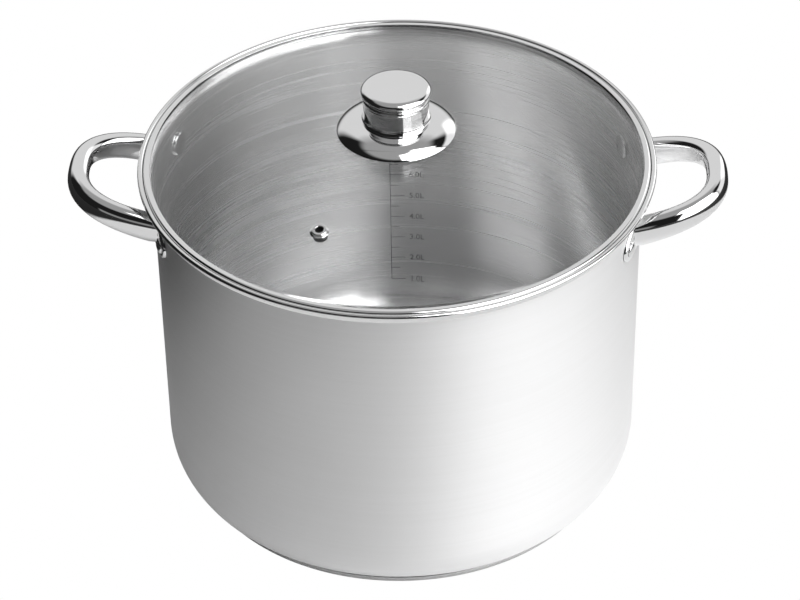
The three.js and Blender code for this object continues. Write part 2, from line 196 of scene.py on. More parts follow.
# ---------------------------------------------------------------- materials
# turned patterns of brushed steel: stretch along the lines, and pitch across them
FINE_LINES, WIDE_STREAKS, PATCHES = (6.0, 900.0), (3.0, 420.0), (5.0, 9.0)
FINE_SHARE = 0.4                    # share of the fine lines in the steel's tone, against the wide streaks
HAIR_SCRATCHES = (200, 900, 2600)
QUARTER_TURN = 0.25                 # turns the gloss's long way across the turned lines


def turned_coordinates(tree, stretch, pitch):
    """A vector that runs quickly across turned lines (up and outwards) and slowly along them."""
    split = tree.nodes.new("ShaderNodeSeparateXYZ")
    tree.links.new(object_coordinates(tree), split.inputs[0])
    x, y, z = split.outputs
    squares = [math_node(tree, "MULTIPLY", side, side) for side in (x, y)]
    radius = math_node(tree, "SQRT", math_node(tree, "ADD", *squares))
    across = math_node(tree, "ADD", radius, z)
    join = tree.nodes.new("ShaderNodeCombineXYZ")
    for value, factor, socket in zip((x, y, across), (stretch, stretch, pitch), join.inputs):
        tree.links.new(math_node(tree, "MULTIPLY", value, factor), socket)
    return join.outputs[0]


def noise(tree, vector, scale, detail=3.0, rough=0.5):
    node = tree.nodes.new("ShaderNodeTexNoise")
    node.inputs["Scale"].default_value = scale
    node.inputs["Detail"].default_value = detail
    node.inputs["Roughness"].default_value = rough
    tree.links.new(vector, node.inputs["Vector"])
    return node.outputs["Fac"]


def spread(tree, value, low, high):
    """Stretch the middle of a noise's range, where nearly all of it lies, to low..high."""
    node = tree.nodes.new("ShaderNodeMapRange")
    node.inputs["From Min"].default_value = 0.3
    node.inputs["From Max"].default_value = 0.7
    node.inputs["To Min"].default_value = low
    node.inputs["To Max"].default_value = high
    tree.links.new(value, node.inputs["Value"])
    return node.outputs["Result"]


def grey_mix(tree, factor, dark, light):
    """A colour between two greys, the light one with a trace of blue."""
    node = tree.nodes.new("ShaderNodeMix")
    node.data_type = "RGBA"
    # inputs 6 and 7 are the colours A and B, and output 2 is the mixed colour
    node.inputs[6].default_value = (dark, dark, dark, 1)
    node.inputs[7].default_value = (light, light, light * 1.004, 1)
    tree.links.new(factor, node.inputs["Factor"])
    return node.outputs[2]


def add_bump(tree, shader, height, strength, distance):
    """A relief in the gloss only, distance in metres."""
    bump = tree.nodes.new("ShaderNodeBump")
    bump.inputs["Strength"].default_value = strength
    bump.inputs["Distance"].default_value = distance
    tree.links.new(height, bump.inputs["Height"])
    tree.links.new(bump.outputs["Normal"], shader.inputs["Normal"])


def brushed_steel(name, shade, roughness, anisotropic, line_depth=0.25, streaks=0.03):
    """Steel with fine lines and wider streaks turned round the Z axis."""
    material, tree, shader = new_material(name)
    lines = noise(tree, turned_coordinates(tree, *FINE_LINES), 1.0, 5.0, 0.65)
    wide = noise(tree, turned_coordinates(tree, *WIDE_STREAKS), 1.0, 4.0, 0.7)
    patches = noise(tree, turned_coordinates(tree, *PATCHES), 1.0, 3.0)
    fine = math_node(tree, "MULTIPLY", lines, FINE_SHARE)
    streaky = math_node(tree, "ADD", fine, math_node(tree, "MULTIPLY", wide, 1 - FINE_SHARE))
    tone = spread(tree, streaky, 0.0, 1.0)
    colour = grey_mix(tree, tone, shade * (1 - 2 * streaks), shade * (1 + streaks))
    tree.links.new(colour, shader.inputs["Base Color"])
    base = spread(tree, patches, roughness * 0.92, roughness * 1.08)
    grain = spread(tree, streaky, -2 * streaks, 2 * streaks)
    tree.links.new(math_node(tree, "ADD", base, grain), shader.inputs["Roughness"])
    shader.inputs["Metallic"].default_value = 1.0
    shader.inputs["Anisotropic"].default_value = anisotropic
    shader.inputs["Anisotropic Rotation"].default_value = QUARTER_TURN
    tangent = tree.nodes.new("ShaderNodeTangent")
    tangent.direction_type = "RADIAL"
    tangent.axis = "Z"
    tree.links.new(tangent.outputs[0], shader.inputs["Tangent"])
    add_bump(tree, shader, lines, line_depth, 0.00002)
    return material


def polished_steel(name, shade, roughness):
    """Mirror steel with faint smears and hair scratches."""
    material, tree, shader = new_material(name)
    place = object_coordinates(tree)
    smears = noise(tree, place, 45.0, 4.0, 0.6)
    stretch = tree.nodes.new("ShaderNodeMapping")
    stretch.inputs["Scale"].default_value = HAIR_SCRATCHES
    tree.links.new(place, stretch.inputs["Vector"])
    hairs = noise(tree, stretch.outputs[0], 1.0, 2.0)
    tree.links.new(grey_mix(tree, smears, shade * 0.97, shade), shader.inputs["Base Color"])
    base = spread(tree, smears, roughness * 0.7, roughness * 1.4)
    fine = spread(tree, hairs, -0.01, 0.012)
    tree.links.new(math_node(tree, "ADD", base, fine), shader.inputs["Roughness"])
    shader.inputs["Metallic"].default_value = 1.0
    add_bump(tree, shader, smears, 0.05, 0.0004)
    return material


def clear_glass(name):
    """Tempered glass, clear to the light that falls through it, with a trace of smear in its gloss."""
    material, tree, shader = new_material(name)
    place = object_coordinates(tree)
    smears = noise(tree, place, 14.0, 4.0, 0.6)
    tree.links.new(spread(tree, smears, 0.0, 0.02), shader.inputs["Roughness"])
    tree.links.new(grey_mix(tree, smears, 0.97, 0.99), shader.inputs["Base Color"])
    shader.inputs["Transmission Weight"].default_value = 1.0
    shader.inputs["IOR"].default_value = 1.5
    through = tree.nodes.new("ShaderNodeBsdfTransparent")
    through.inputs["Color"].default_value = (0.9, 0.91, 0.905, 1)
    ray = tree.nodes.new("ShaderNodeLightPath")
    target = tree.nodes["Material Output"].inputs["Surface"]
    choose_shader(tree, ray.outputs["Is Shadow Ray"], shader.outputs[0], through.outputs[0], target)
    return material


def silicone(name):
    material, tree, shader = new_material(name)
    place = object_coordinates(tree)
    grain = noise(tree, place, 900.0, 3.0)
    tree.links.new(grey_mix(tree, grain, 0.018, 0.03), shader.inputs["Base Color"])
    tree.links.new(spread(tree, grain, 0.5, 0.7), shader.inputs["Roughness"])
    add_bump(tree, shader, grain, 0.2, 0.0001)
    return material


def etched_ink(name):
    material, tree, shader = new_material(name)
    place = object_coordinates(tree)
    grain = noise(tree, place, 1500.0, 2.0)
    tree.links.new(grey_mix(tree, grain, 0.12, 0.24), shader.inputs["Base Color"])
    tree.links.new(spread(tree, grain, 0.45, 0.65), shader.inputs["Roughness"])
    shader.inputs["Metallic"].default_value = 0.6
    return material


# shade, roughness, anisotropy, strength of the lines' relief and of the streaks
OUTER_STEEL = brushed_steel("outer_satin_steel", 0.84, 0.6, 0.5, 0.2, 0.012)
INNER_STEEL = brushed_steel("inner_brushed_steel", 0.88, 0.26, 1.0, 0.2, 0.03)
BASE_STEEL = brushed_steel("base_turned_steel", 0.6, 0.28, 0.6, 0.3)
RACK_STEEL = brushed_steel("rack_steel", 0.66, 0.32, 0.3)
ALUMINIUM = brushed_steel("core_aluminium", 0.62, 0.45, 0.3)
# shade, roughness
POLISHED = polished_steel("polished_steel", 0.86, 0.05)
RIM_STEEL = polished_steel("rim_steel", 0.84, 0.12)
KNOB_TOP = polished_steel("knob_top_steel", 0.87, 0.09)
RIVET = polished_steel("rivet_steel", 0.78, 0.16)
# painted shade: a nearly black steel for the inside of the vent's bore, which is dark only by shade
BORE_PAINTED_SHADE = polished_steel("vent_bore_painted_shade", 0.06, 0.5)
GLASS = clear_glass("clear_glass")
SILICONE = silicone("black_silicone")
INK = etched_ink("etched_scale")


# ---------------------------------------------------------------- shape helpers
TINY = 1e-6


def linked_object(name, data):
    item = bpy.data.objects.new(name, data)
    scene.collection.objects.link(item)
    return item


def finished_copy(item):
    """The mesh of an object with its modifiers applied; the object is removed."""
    graph = bpy.context.evaluated_depsgraph_get()
    mesh = bpy.data.meshes.new_from_object(item.evaluated_get(graph))
    bpy.data.objects.remove(item)
    return mesh


def cut_away(blank, cutter, cutter_overlaps_itself=False):
    """The blank's mesh with the cutter's taken out of it."""
    item, tool = linked_object("blank", blank), linked_object("cutter", cutter)
    cut = item.modifiers.new("cut", "BOOLEAN")
    cut.operation = "DIFFERENCE"
    cut.use_self = cutter_overlaps_itself
    cut.object = tool
    mesh = finished_copy(item)
    bpy.data.objects.remove(tool)
    return mesh


def turned_size(node):
    """Outer radius, bottom and top of a round CAD piece, in mm."""
    low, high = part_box(node)
    return high[0] / MM, low[2] / MM, high[2] / MM


def make_piece(name, mesh, material, body, slot, *nodes):
    piece = linked_object(name, mesh)
    mesh.materials.append(material)
    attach(piece, body)
    if nodes:
        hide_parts(*nodes)
    return piece


def arc(r, z, radius_r, radius_z, start, end, steps):
    """Points (r, z) in mm on an elliptical arc, angles in degrees."""
    angles = (math.radians(start + (end - start) * i / steps) for i in range(steps + 1))
    return [(r + radius_r * math.cos(a), z + radius_z * math.sin(a)) for a in angles]


def sheet_outline(line, thickness):
    """Outline of a sheet of even thickness that follows a middle line, with rounded edges."""
    points = [Vector(p) for p in line]
    last = len(points) - 1
    sides = ([], [])
    for i, point in enumerate(points):
        along = (points[min(i + 1, last)] - points[max(i - 1, 0)]).normalized()
        across = Vector((-along.y, along.x)) * thickness / 2
        if abs(point.x) < TINY:
            across.x = 0
        sides[0].append(point + across)
        sides[1].append(point - across)
    outline = sides[0][:]
    outline += edge_round(points[last], points[last] - points[last - 1], thickness)
    outline += reversed(sides[1])
    outline += edge_round(points[0], points[0] - points[1], thickness)
    return [tuple(p) for p in outline]


def edge_round(point, outward, thickness, steps=5):
    """The half-round edge of a sheet, between its two sides; none where the sheet meets the axis."""
    if abs(point.x) < TINY:
        return []
    out = outward.normalized()
    side = Vector((-out.y, out.x))
    angles = (math.radians(90 - 180 * i / steps) for i in range(1, steps))
    return [point + (out * math.cos(a) + side * math.sin(a)) * thickness / 2 for a in angles]


def lathe(name, outline, segments=192):
    """Closed solid of revolution about Z from an outline of (r, z) points in mm, smooth shaded."""
    area = sum(r0 * z1 - z0 * r1 for (r0, z0), (r1, z1) in zip(outline, outline[1:] + outline[:1]))
    loop = list(outline) if area > 0 else list(reversed(outline))
    mesh = bmesh.new()
    rings = []
    for r, z in loop:
        if r < TINY:
            rings.append([mesh.verts.new((0, 0, z * MM))])
            continue
        turn = [2 * math.pi * i / segments for i in range(segments)]
        rings.append([mesh.verts.new((r * MM * math.cos(a), r * MM * math.sin(a), z * MM)) for a in turn])
    for here, there in zip(rings, rings[1:] + rings[:1]):
        if len(here) == 1 and len(there) == 1:
            continue
        for i in range(segments):
            j = (i + 1) % segments
            corners = [here[k % len(here)] for k in (i, j)]
            corners += [there[k % len(there)] for k in (j, i)]
            mesh.faces.new(list(dict.fromkeys(corners)))
    return finish_mesh(name, mesh)


def finish_mesh(name, mesh, sharp_degrees=35):
    bmesh.ops.recalc_face_normals(mesh, faces=mesh.faces)
    for face in mesh.faces:
        face.smooth = True
    for edge in mesh.edges:
        if len(edge.link_faces) == 2 and edge.calc_face_angle(0) > math.radians(sharp_degrees):
            edge.smooth = False
    data = bpy.data.meshes.new(name)
    mesh.to_mesh(data)
    mesh.free()
    return data


def moved(data, matrix):
    data.transform(matrix)
    return data


# ---------------------------------------------------------------- pot
_, FLOOR_UNDERSIDE, RIM_TOP = turned_size("pot_body")
RIM_R = 148.9
INNER_R = 140.0
WALL = 0.8
CORNER_WIDTH, CORNER_HEIGHT = 21.0, 27.0
FLARE_R = 5.0
LIP_R = 1.15
LIP_HEIGHT = 5.6                    # the polished top of the pot's edge
FLARE_DROP = 11.2                   # from the rim's top down to where the wall starts to flare
INNER_INDEX, RIM_INDEX = 1, 2       # places of the inner and the rim steel in the pot's material list
WALL_R = INNER_R + WALL / 2


def pot_line():
    """Middle line of the pot's sheet, from the centre of the floor to the curled lip."""
    corner_z = FLOOR_UNDERSIDE + WALL / 2 + CORNER_HEIGHT
    flare_z = RIM_TOP - FLARE_DROP
    lip_r = RIM_R - WALL / 2 - LIP_R
    lip_z = RIM_TOP - WALL / 2 - LIP_R
    line = [(0, FLOOR_UNDERSIDE + WALL / 2)]
    line += [(r, FLOOR_UNDERSIDE + WALL / 2) for r in range(10, 120, 10)]
    line += arc(WALL_R - CORNER_WIDTH, corner_z, CORNER_WIDTH, CORNER_HEIGHT, -90, 0, 24)
    line += [(WALL_R, corner_z + (flare_z - corner_z) * i / 24) for i in range(1, 24)]
    line += arc(WALL_R + FLARE_R, flare_z, FLARE_R, FLARE_R, 180, 100, 10)
    line += arc(lip_r - LIP_R - 1.0, flare_z + FLARE_R + 0.9, 1.0, 1.0, -75, 0, 5)
    line += arc(lip_r, lip_z, LIP_R, LIP_R, 180, -40, 16)
    return line


def make_pot():
    shell = lathe("pot_shell", sheet_outline(pot_line(), WALL), 256)
    make_piece("pot_shell", shell, OUTER_STEEL, "pot", "satin_steel", "pot_body")
    shell.materials.append(INNER_STEEL)
    shell.materials.append(RIM_STEEL)
    for face in shell.polygons:
        inward = face.normal.x * face.center.x + face.normal.y * face.center.y < 0
        if face.center.z > (RIM_TOP - LIP_HEIGHT) * MM:
            face.material_index = RIM_INDEX
        elif inward or face.normal.z > 0.7:
            face.material_index = INNER_INDEX

    cap_r, _, cap_height = turned_size("base_cap")
    sheet = 0.6
    line = [(0, sheet / 2)] + [(r, sheet / 2) for r in range(15, 120, 15)]
    line += arc(cap_r - sheet / 2 - 1, sheet / 2 + 1, 1, 1, -90, 0, 6)
    line += [(cap_r - sheet / 2, cap_height - sheet / 2)]
    cap = lathe("base_cap_turned", sheet_outline(line, sheet), 256)
    make_piece("base_cap_turned", cap, BASE_STEEL, "pot", "base_steel", "base_cap")

    core_r, z0, z1 = turned_size("base_core")
    core = lathe("base_core_disc", [(0, z0), (core_r, z0), (core_r, z1), (0, z1)], 192)
    make_piece("base_core_disc", core, ALUMINIUM, "pot", "aluminium", "base_core")


# ---------------------------------------------------------------- litre scale inside the pot
SCALE_AZIMUTH = math.radians(94.2)
SCALE_STEPS = [0.5 * i for i in range(2, 22)]   # 1.0 to 10.5 litres
MARK_WIDTH, MARK_DEPTH = 0.45, 0.04
WHOLE_MARK, HALF_MARK, NUMBER_START = 9.0, 5.4, 11.8
NUMBER_SIZE, NUMBER_WEIGHT = 5.6, 0.06


def level(litres):
    """Height in mm of the water's surface over the table."""
    floor_area = math.pi * (INNER_R / 100) ** 2
    return FLOOR_UNDERSIDE + WALL + litres / floor_area * 100


def inner_radius(z):
    """Radius of the pot's inner face at a height, rounded corner included."""
    below = max(0, FLOOR_UNDERSIDE + WALL / 2 + CORNER_HEIGHT - z) / (CORNER_HEIGHT - WALL / 2)
    return WALL_R - CORNER_WIDTH + (CORNER_WIDTH - WALL / 2) * math.sqrt(1 - below ** 2)


def wrap_on_wall(mesh):
    """Bend a flat drawing, x along the wall and y up, in mm, on to the pot's inner wall."""
    for vert in mesh.verts:
        azimuth = SCALE_AZIMUTH - vert.co.x / INNER_R
        r = inner_radius(vert.co.y) + MARK_DEPTH / 4 - vert.co.z
        vert.co = Vector((r * math.cos(azimuth), r * math.sin(azimuth), vert.co.y)) * MM


def add_bar(mesh, x0, x1, y0, y1):
    """A thin flat bar, cut across every few millimetres so that it can bend."""
    cuts = max(1, round(abs(x1 - x0) / 3))
    tall = max(1, round(abs(y1 - y0) / 2))
    grid = {}
    for i in range(cuts + 1):
        for j in range(tall + 1):
            for k in (0, 1):
                x, y = x0 + (x1 - x0) * i / cuts, y0 + (y1 - y0) * j / tall
                grid[i, j, k] = mesh.verts.new((x, y, k * MARK_DEPTH))
    for i in range(cuts):
        for j in range(tall):
            for k in (0, 1):
                mesh.faces.new([grid[i + a, j + b, k] for a, b in ((0, 0), (1, 0), (1, 1), (0, 1))])
    for i in range(cuts):
        for j in (0, tall):
            mesh.faces.new([grid[i, j, 0], grid[i + 1, j, 0], grid[i + 1, j, 1], grid[i, j, 1]])
    for j in range(tall):
        for i in (0, cuts):
            mesh.faces.new([grid[i, j, 0], grid[i, j + 1, 0], grid[i, j + 1, 1], grid[i, j, 1]])


def add_number(mesh, words, x, y):
    font = bpy.data.curves.new("number", "FONT")
    font.body = words
    font.size = NUMBER_SIZE
    font.offset = NUMBER_WEIGHT
    font.extrude = MARK_DEPTH / 2
    font.resolution_u = 3
    font.align_y = "CENTER"
    data = finished_copy(linked_object("number", font))
    data.transform(Matrix.Translation((x, y, MARK_DEPTH / 2)))
    mesh.from_mesh(data)


def make_scale():
    lines, numbers = bmesh.new(), bmesh.new()
    add_bar(lines, -MARK_WIDTH / 2, MARK_WIDTH / 2, level(SCALE_STEPS[0]), level(SCALE_STEPS[-1]))
    for litres in SCALE_STEPS:
        whole = litres == int(litres)
        y = level(litres)
        length = WHOLE_MARK if whole else HALF_MARK
        add_bar(lines, MARK_WIDTH / 2 + 0.02, length, y - MARK_WIDTH / 2, y + MARK_WIDTH / 2)
        if whole:
            add_number(numbers, f"{litres:.1f}L", NUMBER_START, y)
    for name, mesh in (("litre_scale_lines", lines), ("litre_scale_numbers", numbers)):
        bmesh.ops.remove_doubles(mesh, verts=mesh.verts, dist=1e-4)
        wrap_on_wall(mesh)
        make_piece(name, finish_mesh(name, mesh), INK, "pot", "satin_steel")


# ---------------------------------------------------------------- handles
HANDLE_REACH, HANDLE_ROOT, HALF_SPREAD = 183.8, 134.0, 38.0
SQUARENESS = 2.55
HANDLE_Z = 190.2
RISE = math.radians(16)
TUBE_WIDTH, TUBE_GRIP, TUBE_ROOT = 12.0, 13.8, 17.6
BRACKET_R = INNER_R + WALL + 0.3
BRACKET_SHEET = 1.6
RIVET_SPREAD, RIVET_Z = 49.5, 185.5


def loop_point(u):
    """Middle line of the right handle, from its front root (u = 0) to its rear root (u = 1)."""
    angle = (u - 0.5) * math.pi
    power = 2 / SQUARENESS
    out = max(math.cos(angle), 0) ** power
    across = math.copysign(abs(math.sin(angle)) ** power, angle)
    x = HANDLE_ROOT + (HANDLE_REACH - HANDLE_ROOT) * out
    z = HANDLE_Z + math.tan(RISE) * (x - INNER_R - WALL)
    return Vector((x, HALF_SPREAD * across, z))


def loop_stations(count):
    """Values of u that space the sections evenly along the loop, from wall to wall."""
    fine = [i / 4000 for i in range(4001)]
    places = [loop_point(u) for u in fine]
    radius = BRACKET_R + BRACKET_SHEET * 0.6
    outside = [i for i, p in enumerate(places) if math.hypot(p.x, p.y) > radius]
    first, last = outside[0], outside[-1]
    length = [0.0]
    for i in range(first, last):
        length.append(length[-1] + (places[i + 1] - places[i]).length)
    stations, i = [], 0
    for k in range(count + 1):
        goal = length[-1] * k / count
        while i < len(length) - 1 and length[i] < goal:
            i += 1
        stations.append(fine[first + i])
    return stations


def tube_section(width, height, steps=40, squareness=2.35):
    """A softly squared oval, as (across, up) in mm."""
    section = []
    for i in range(steps):
        a = 2 * math.pi * i / steps
        c, s = math.cos(a), math.sin(a)
        section.append((
            width / 2 * math.copysign(abs(c) ** (2 / squareness), c),
            height / 2 * math.copysign(abs(s) ** (2 / squareness), s),
        ))
    return section


def handle_mesh(name):
    mesh = bmesh.new()
    up = Vector((-math.sin(RISE), 0, math.cos(RISE)))
    rings = []
    for u in loop_stations(96):
        along = (loop_point(min(u + 1e-3, 1)) - loop_point(max(u - 1e-3, 0))).normalized()
        across = up.cross(along).normalized()
        height = TUBE_GRIP + (TUBE_ROOT - TUBE_GRIP) * (2 * u - 1) ** 2
        centre = loop_point(u)
        section = tube_section(TUBE_WIDTH, height)
        rings.append([mesh.verts.new((centre + across * a + up * b) * MM) for a, b in section])
    for here, there in zip(rings, rings[1:]):
        for i in range(len(here)):
            j = (i + 1) % len(here)
            mesh.faces.new((here[i], here[j], there[j], there[i]))
    mesh.faces.new(rings[0])
    mesh.faces.new(rings[-1])
    # lay the end sections on the bracket's curve
    for ring in (rings[0], rings[-1]):
        for vert in ring:
            radius = (BRACKET_R + BRACKET_SHEET * 0.5) * MM
            vert.co.x = math.sqrt(max(radius ** 2 - vert.co.y ** 2, 0))
    return finish_mesh(name, mesh)


def bracket_outline(grow=0.0, steps=20):
    """Two circles joined by their tangents, as (y, z) in mm."""
    end_r, lobe_r = 11.5 + grow, 7.0 + grow
    end = Vector((HALF_SPREAD, HANDLE_Z - 0.5))
    lobe = Vector((RIVET_SPREAD + 0.3, RIVET_Z - 0.2))
    span = lobe - end
    lean = math.atan2(span.y, span.x)
    tangent = math.acos((end_r - lobe_r) / span.length)
    points = []
    for centre, radius, start, stop in (
        (end, end_r, lean + tangent, lean - tangent + 2 * math.pi),
        (lobe, lobe_r, lean - tangent, lean + tangent),
    ):
        for i in range(steps):
            a = start + (stop - start) * i / (steps - 1)
            points.append((centre.x + radius * math.cos(a), centre.y + radius * math.sin(a)))
    return points


def bracket_mesh(name):
    """A pressed plate that follows the pot's wall, with a rounded edge."""
    mesh = bmesh.new()
    # growth of the outline in mm, and height over the wall as a share of the sheet
    steps = [(0.0, 0.0), (0.0, 0.55), (-0.25, 0.85), (-0.8, 1.0), (-2.6, 1.0), (-3.6, 0.86)]
    rings = []
    for grow, lift in steps:
        ring = []
        for y, z in bracket_outline(grow):
            r = BRACKET_R + BRACKET_SHEET * lift
            ring.append(mesh.verts.new(Vector((math.sqrt(r * r - y * y), y, z)) * MM))
        rings.append(ring)
    for here, there in zip(rings, rings[1:]):
        for i in range(len(here)):
            j = (i + 1) % len(here)
            mesh.faces.new((here[i], here[j], there[j], there[i]))
    for ring in (rings[0], rings[-1]):
        face = mesh.faces.new(ring)
        bmesh.ops.triangulate(mesh, faces=[face])
    return finish_mesh(name, mesh, 50)


def rivet_mesh(name):
    """A rivet along Z, to be laid along a radius: wide head inside, small domed head outside."""
    inner_r, outer_r, shank = 7.0, 4.5, 2.3
    inner_seat = math.sqrt(INNER_R ** 2 - inner_r ** 2) - 0.2
    outer_seat = BRACKET_R + BRACKET_SHEET + 0.05
    outline = [(0, inner_seat - 1.6), (2, inner_seat - 1.56)]
    outline += [(4, inner_seat - 1.4), (5.5, inner_seat - 1.15)]
    outline += arc(inner_r - 0.7, inner_seat - 0.6, 0.7, 0.5, -70, 0, 5)
    outline += [(inner_r, inner_seat), (shank, inner_seat), (shank, outer_seat), (outer_r, outer_seat)]
    outline += arc(0, outer_seat + 0.2, outer_r, 1.5, 8, 90, 9)
    outline[-1] = (0, outline[-1][1])
    return lathe(name, outline, 48)


def make_handles():
    azimuth = math.asin(RIVET_SPREAD / (INNER_R + WALL))
    for side, sign in (("left", -1), ("right", 1)):
        flip = Matrix.Scale(sign, 4, (1, 0, 0))
        tube = moved(handle_mesh(f"{side}_handle_tube"), flip)
        if sign < 0:
            tube.flip_normals()
        make_piece(f"{side}_handle_tube", tube, POLISHED, "pot", "polished_steel", f"handle_{side}")
        for end, spread in (("front", -1), ("rear", 1)):
            place = f"{side}_{end}"
            over = Matrix.Scale(spread, 4, (0, 1, 0))
            plate = moved(bracket_mesh(f"{place}_bracket"), flip @ over)
            if sign * spread < 0:
                plate.flip_normals()
            node = f"bracket_{place}"
            make_piece(f"{place}_bracket_plate", plate, POLISHED, "pot", "polished_steel", node)
            outward = Vector((sign * math.cos(azimuth), spread * math.sin(azimuth), 0))
            turn = outward.to_track_quat("Z", "Y").to_matrix().to_4x4()
            lift = Matrix.Translation((0, 0, RIVET_Z * MM))
            rivet = moved(rivet_mesh(f"{place}_rivet"), lift @ turn)
            make_piece(f"{place}_rivet", rivet, RIVET, "pot", "rivet_steel", f"rivet_{place}")


# ---------------------------------------------------------------- lid
GLASS_THICK = 4.0
GLASS_EDGE_R, DOME_EDGE_R, GLASS_RISE, GLASS_BORE_R = 144.6, 141.2, 21.4, 5.0
GLASS_EDGE_Z = turned_size("lid_glass")[1] + GLASS_THICK / 2
DOME_R = (DOME_EDGE_R ** 2 + GLASS_RISE ** 2) / (2 * GLASS_RISE)
DOME_Z = GLASS_EDGE_Z + GLASS_RISE - DOME_R
BAND_INNER_R = 142.0
VENT_DISTANCE, VENT_AZIMUTH = 95.7, math.radians(-114.3)
BOLT_R = 2.7                        # bore of the rings and of the insert round the knob's screw


def make_lid():
    line = []
    for i in range(49):
        r = GLASS_BORE_R + (DOME_EDGE_R - GLASS_BORE_R) * i / 48
        line.append((r, DOME_Z + math.sqrt(DOME_R ** 2 - r ** 2)))
    line += [(GLASS_EDGE_R - 1.8, GLASS_EDGE_Z), (GLASS_EDGE_R - 0.8, GLASS_EDGE_Z)]
    glass = lathe("lid_glass_dome", sheet_outline(line, GLASS_THICK), 192)
    make_piece("lid_glass_dome", glass, GLASS, "lid", "clear_glass", "lid_glass")

    outer, bottom, top = turned_size("lid_band")
    sheet, corner = 0.5, 1.6
    middle = outer - sheet / 2
    line = [(BAND_INNER_R, bottom + sheet / 2)]
    line += arc(middle - corner, bottom + sheet / 2 + corner, corner, corner, -90, 0, 6)
    line += arc(middle - corner, top - sheet / 2 - corner, corner, corner, 0, 90, 8)
    line += [(BAND_INNER_R, top - sheet / 2)]
    band = lathe("lid_band_rolled", sheet_outline(line, sheet), 256)
    make_piece("lid_band_rolled", band, POLISHED, "lid", "polished_steel", "lid_band")


def make_vent():
    lean = math.asin(VENT_DISTANCE / DOME_R)
    out, up = math.sin(lean), math.cos(lean)
    axis = Vector((out * math.cos(VENT_AZIMUTH), out * math.sin(VENT_AZIMUTH), up))
    seat = Vector((0, 0, DOME_Z)) + axis * (DOME_R + GLASS_THICK / 2)
    turn = Matrix.Translation(seat * MM) @ axis.to_track_quat("Z", "Y").to_matrix().to_4x4()
    foot = -GLASS_THICK - 1.6           # heights are over the glass's outer face
    bore, tube, foot_r, collar, lip, height = 2.4, 2.9, 4.0, 5.5, 4.4, 2.2
    outline = [(bore, foot - 0.8), (foot_r - 0.3, foot - 0.8), (foot_r, foot - 0.5)]
    outline += [(foot_r, foot), (tube, foot)]
    outline += [(tube, 0.15), (collar - 0.2, 0.15)]
    outline += arc(collar - 0.35, 0.55, 0.35, 0.4, -70, 70, 7)
    outline += [(lip + 0.2, 1.15)]
    outline += arc(lip - 0.6, height - 0.6, 0.6, 0.6, 0, 90, 7)
    outline += arc(bore + 0.45, height - 0.45, 0.45, 0.45, 90, 180, 6)
    eyelet = lathe("vent_eyelet_turned", outline, 64)
    make_piece("vent_eyelet_turned", eyelet, POLISHED, "lid", "polished_steel", "vent_eyelet")
    eyelet.materials.append(BORE_PAINTED_SHADE)  # painted shade: the inside of the bore, at index 1, is made nearly black where it is dark only by shade
    # the faces of the bore's inner wall get the painted shade
    for face in eyelet.polygons:
        inward = face.normal.x * face.center.x + face.normal.y * face.center.y < 0
        if inward and abs(face.normal.z) < 0.5 and Vector(face.center.xy).length < (bore + 0.3) * MM:
            face.material_index = 1
    moved(eyelet, turn)
    z0, z1 = foot + 0.3, foot + 1.3
    washer = [(tube + 0.15, z0), (foot_r, z0), (foot_r, z1), (tube + 0.15, z1)]
    washer = moved(lathe("vent_seal", washer, 48), turn)
    make_piece("vent_seal", washer, SILICONE, "lid", "silicone", "vent_washer")


def plain_ring(name, node, material, slot):
    """A washer or gasket in its CAD place, with softened edges."""
    inner = BOLT_R
    outer, z0, z1 = turned_size(node)
    soft = min(0.25, (z1 - z0) * 0.3)
    outline = [(inner, z0 + soft), (inner + soft, z0), (outer - soft, z0), (outer, z0 + soft)]
    outline += [(outer, z1 - soft), (outer - soft, z1), (inner + soft, z1), (inner, z1 - soft)]
    make_piece(name, lathe(name, outline, 64), material, "lid", slot, node)


